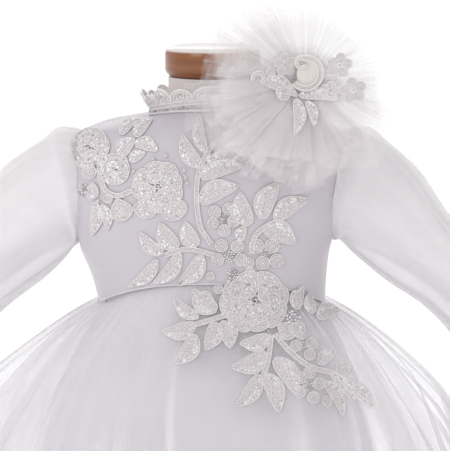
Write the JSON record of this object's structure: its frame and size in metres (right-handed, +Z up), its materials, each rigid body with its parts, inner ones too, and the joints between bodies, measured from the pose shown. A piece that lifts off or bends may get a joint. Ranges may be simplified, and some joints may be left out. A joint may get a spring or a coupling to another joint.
{
  "type": "christening gown on dress form",
  "caption": "Long-sleeved christening gown with lace sprays, a full tulle skirt and a tulle rosette at the neck, on a limbless dress form.",
  "frame": {"origin": "on the floor, under the middle of the part's box", "axes": "+Z up, the gown's front faces -Y, the rosette is on the +X side"},
  "size_m": [0.6238, 0.558, 0.7206],
  "materials": {
    "satin": "ivory-white satin, soft sheen",
    "organza": "sheer white organza",
    "tulle": "fine soft white net",
    "lace": "corded ivory lace with beads and sequins",
    "form_cloth": "smooth pale stretched jersey",
    "wood": "warm brown varnish",
    "pearl": "pearly"
  },
  "bodies": {
    "root": {"bodice_front": "satin", "bodice_back_left": "satin", "bodice_back_right": "satin", "back_placket": "satin", "waist_piping": "satin", "neck_piping": "satin", "underskirt": "satin", "sleeve_left": "organza", "sleeve_right": "organza", "cuff_left": "organza", "cuff_right": "organza", "skirt_top_tulle": "tulle", "skirt_inner_tulle": "tulle", "rosette_tulle_back": "tulle", "rosette_tulle_front": "tulle", "rosette_hub": "tulle", "collar_lace": "lace", "rosette_tab": "lace", "lace_front": "lace", "lace_shoulder": "lace", "lace_rosette": "lace", "form_torso": "form_cloth", "form_cap": "wood", "form_pole": "wood", "form_base": "wood", "button_1": "pearl", "button_2": "pearl", "button_3": "pearl", "button_4": "pearl", "button_5": "pearl"}
  },
  "joints": []
}
